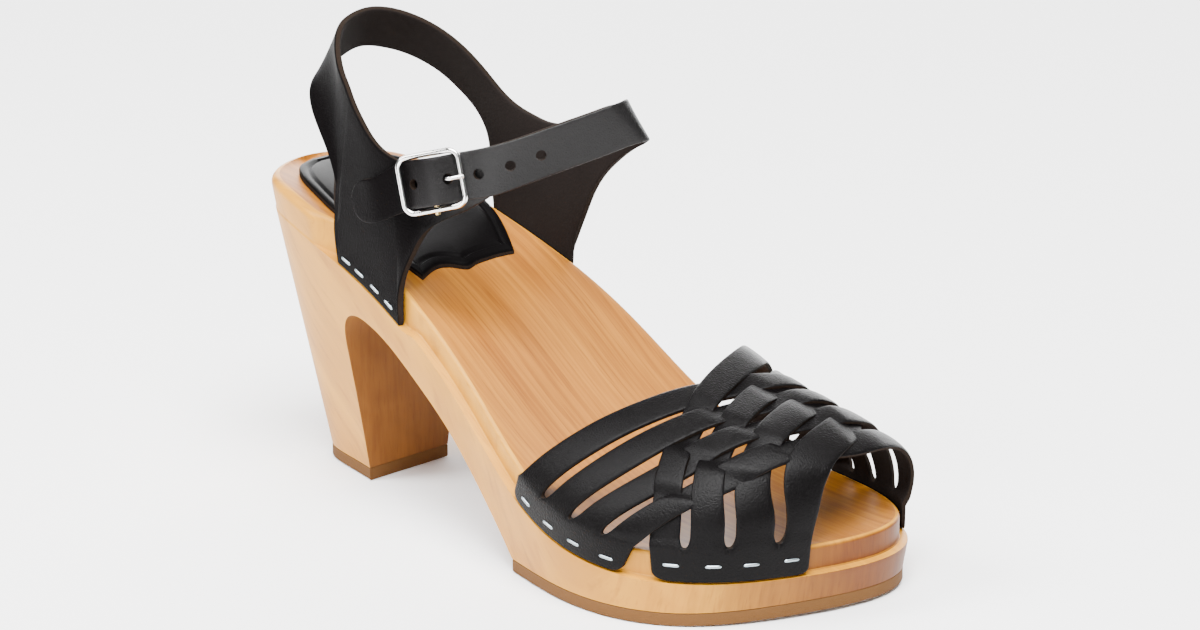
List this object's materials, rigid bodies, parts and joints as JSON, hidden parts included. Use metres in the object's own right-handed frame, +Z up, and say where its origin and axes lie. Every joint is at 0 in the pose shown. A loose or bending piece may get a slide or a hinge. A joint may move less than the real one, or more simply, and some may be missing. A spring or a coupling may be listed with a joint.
{
  "type": "clog sandal",
  "caption": "Right-foot clog sandal: carved wooden platform sole with a block heel and sawn arch, woven leather vamp, heel band and buckled ankle strap.",
  "frame": {"origin": "middle of the overall box, on the floor under the sole", "axes": "+X to the toe, +Y to the inner side of the foot, +Z up"},
  "size_m": [0.2266, 0.096, 0.1441],
  "materials": {
    "wood": "pale alder, sanded and sealed, satin",
    "rubber": "tan rubber, matt",
    "leather": "black smooth leather with raw cut edges",
    "metal": "bright nickel plate"
  },
  "bodies": {
    "root": {"wood_sole": "wood", "outsole_forefoot": "rubber", "heel_lift": "rubber", "insole_pad": "leather", "upper_vamp": "leather", "upper_heel": "leather", "buckle_frame": "metal", "buckle_bar": "metal", "buckle_prong": "metal"}
  },
  "joints": []
}
